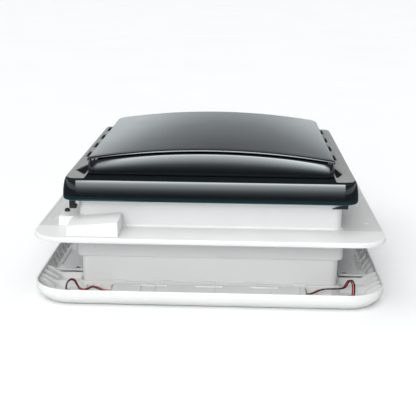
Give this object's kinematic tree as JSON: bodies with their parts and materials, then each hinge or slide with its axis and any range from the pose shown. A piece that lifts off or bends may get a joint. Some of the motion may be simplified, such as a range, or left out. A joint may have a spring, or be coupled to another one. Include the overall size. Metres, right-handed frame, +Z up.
{
  "type": "roof vent cover",
  "caption": "Square roof vent for a caravan: hinged smoke-tinted lid with an arched hood on a white flanged base, with a separate ribbed ceiling frame below the roof gap.",
  "frame": {"origin": "centre of the ceiling frame's lowest face, directly below the middle of the lid", "axes": "+Z up out of the roof, +X to the right seen from the front, -Y the front edge that opens, +Y the hinge edge"},
  "size_m": [0.5, 0.5, 0.21],
  "materials": {
    "white_shell": "satin moulded ASA, white",
    "smoke_lid": "high gloss smoke acrylic",
    "grey_strip": "matte textured grey plastic",
    "light_grey": "matte light grey plastic",
    "black_plastic": "satin black glass-filled nylon",
    "rubber_seal": "matt EPDM rubber",
    "steel": "stainless steel",
    "brass": "sintered brass gears",
    "blind_cloth": "pleated blackout cloth",
    "screen_mesh": "pleated insect mesh",
    "lamp_lens": "frosted opal lens",
    "lamp_board": "green circuit board",
    "lead_red": "red PVC insulation",
    "lead_black": "black PVC insulation"
  },
  "bodies": {
    "base": {"arm_bracket_left": "black_plastic", "arm_bracket_right": "black_plastic", "arm_pivot_left": "steel", "arm_pivot_right": "steel", "base_frame": "white_shell", "blind_fabric": "blind_cloth", "blind_track_left": "white_shell", "blind_track_right": "white_shell", "ceiling_frame": "white_shell", "front_cover": "white_shell", "gear_housing": "white_shell", "hinge_bracket_left": "black_plastic", "hinge_bracket_right": "black_plastic", "housing_screw": "rubber_seal", "lamp_board_left": "lamp_board", "lamp_board_right": "lamp_board", "lamp_lens_left": "lamp_lens", "lamp_lens_right": "lamp_lens", "lead_black_left": "lead_black", "lead_black_right": "lead_black", "lead_connector_left": "white_shell", "lead_connector_right": "white_shell", "lead_red_left": "lead_red", "lead_red_right": "lead_red", "rear_rail": "white_shell", "roof_seal": "rubber_seal", "screen_fabric": "screen_mesh", "shaft_bracket_front": "black_plastic", "shaft_bracket_rear": "black_plastic", "side_cover_left": "light_grey", "side_cover_right": "light_grey", "spindle_bracket": "black_plastic", "telescopic_collar": "white_shell"},
    "lid": {"lid_pan": "smoke_lid", "lid_liner": "light_grey", "lid_seal": "rubber_seal", "lid_hood": "smoke_lid", "lid_nose": "smoke_lid", "side_vent_left": "grey_strip", "side_vent_right": "grey_strip", "lid_catch": "black_plastic", "lid_guide": "black_plastic", "hinge_leaf_left": "black_plastic", "hinge_leaf_right": "black_plastic", "hinge_pin_left": "steel", "hinge_pin_right": "steel", "slider_track_left": "black_plastic", "slider_track_right": "black_plastic"},
    "lift_arm_left": {"lift_arm_left": "black_plastic", "sector_gear": "brass"},
    "lift_arm_right": {"lift_arm_right": "black_plastic"},
    "slider_left": {"slider_left": "light_grey"},
    "slider_right": {"slider_right": "light_grey"},
    "drive_shaft": {"drive_shaft": "steel", "shaft_gear": "brass"},
    "crank": {"crank_knob": "white_shell", "crank_spindle": "steel", "spindle_gear": "brass"},
    "blind_bar": {"blind_bar": "white_shell"},
    "screen_bar": {"screen_bar": "light_grey"}
  },
  "joints": [
    {"name": "lid_hinge", "type": "hinge", "parent": "base", "child": "lid", "pos_m": [0, 0.197, 0.142], "axis": [-1, 0, 0], "range_deg": [0, 40]},
    {"name": "lift_arm_left_pivot", "type": "hinge", "parent": "base", "child": "lift_arm_left", "pos_m": [-0.179, 0.032, 0.142], "axis": [-1, 0, 0], "range_deg": [0, 80]},
    {"name": "lift_arm_right_pivot", "type": "hinge", "parent": "base", "child": "lift_arm_right", "pos_m": [0.179, 0.032, 0.142], "axis": [-1, 0, 0], "range_deg": [0, 80]},
    {"name": "slider_left_pivot", "type": "hinge", "parent": "lift_arm_left", "child": "slider_left", "pos_m": [-0.168, -0.133, 0.142], "axis": [-1, 0, 0], "range_deg": [-40, 0]},
    {"name": "slider_right_pivot", "type": "hinge", "parent": "lift_arm_right", "child": "slider_right", "pos_m": [0.168, -0.133, 0.142], "axis": [-1, 0, 0], "range_deg": [-40, 0]},
    {"name": "drive_shaft_spin", "type": "hinge", "parent": "base", "child": "drive_shaft", "pos_m": [-0.171, -0.05, 0.1235], "axis": [0, 1, 0], "range_deg": [0, 720]},
    {"name": "crank_spin", "type": "hinge", "parent": "base", "child": "crank", "pos_m": [-0.171, -0.171, 0.05], "axis": [0, 0, 1], "range_deg": [0, 720]},
    {"name": "blind_slide", "type": "slide", "parent": "base", "child": "blind_bar", "axis": [0, 1, 0], "range_m": [0, 0.28], "deforming": ["blind_fabric"]},
    {"name": "screen_slide", "type": "slide", "parent": "base", "child": "screen_bar", "axis": [0, 1, 0], "range_m": [0, 0.28], "deforming": ["screen_fabric"]}
  ],
  "couplings": [
    {"joint": "lift_arm_left_pivot", "follows": "lid_hinge", "ratio": 2},
    {"joint": "lift_arm_right_pivot", "follows": "lid_hinge", "ratio": 2},
    {"joint": "slider_left_pivot", "follows": "lid_hinge", "ratio": -1},
    {"joint": "slider_right_pivot", "follows": "lid_hinge", "ratio": -1},
    {"joint": "drive_shaft_spin", "follows": "lid_hinge", "ratio": 18},
    {"joint": "crank_spin", "follows": "lid_hinge", "ratio": 18}
  ]
}
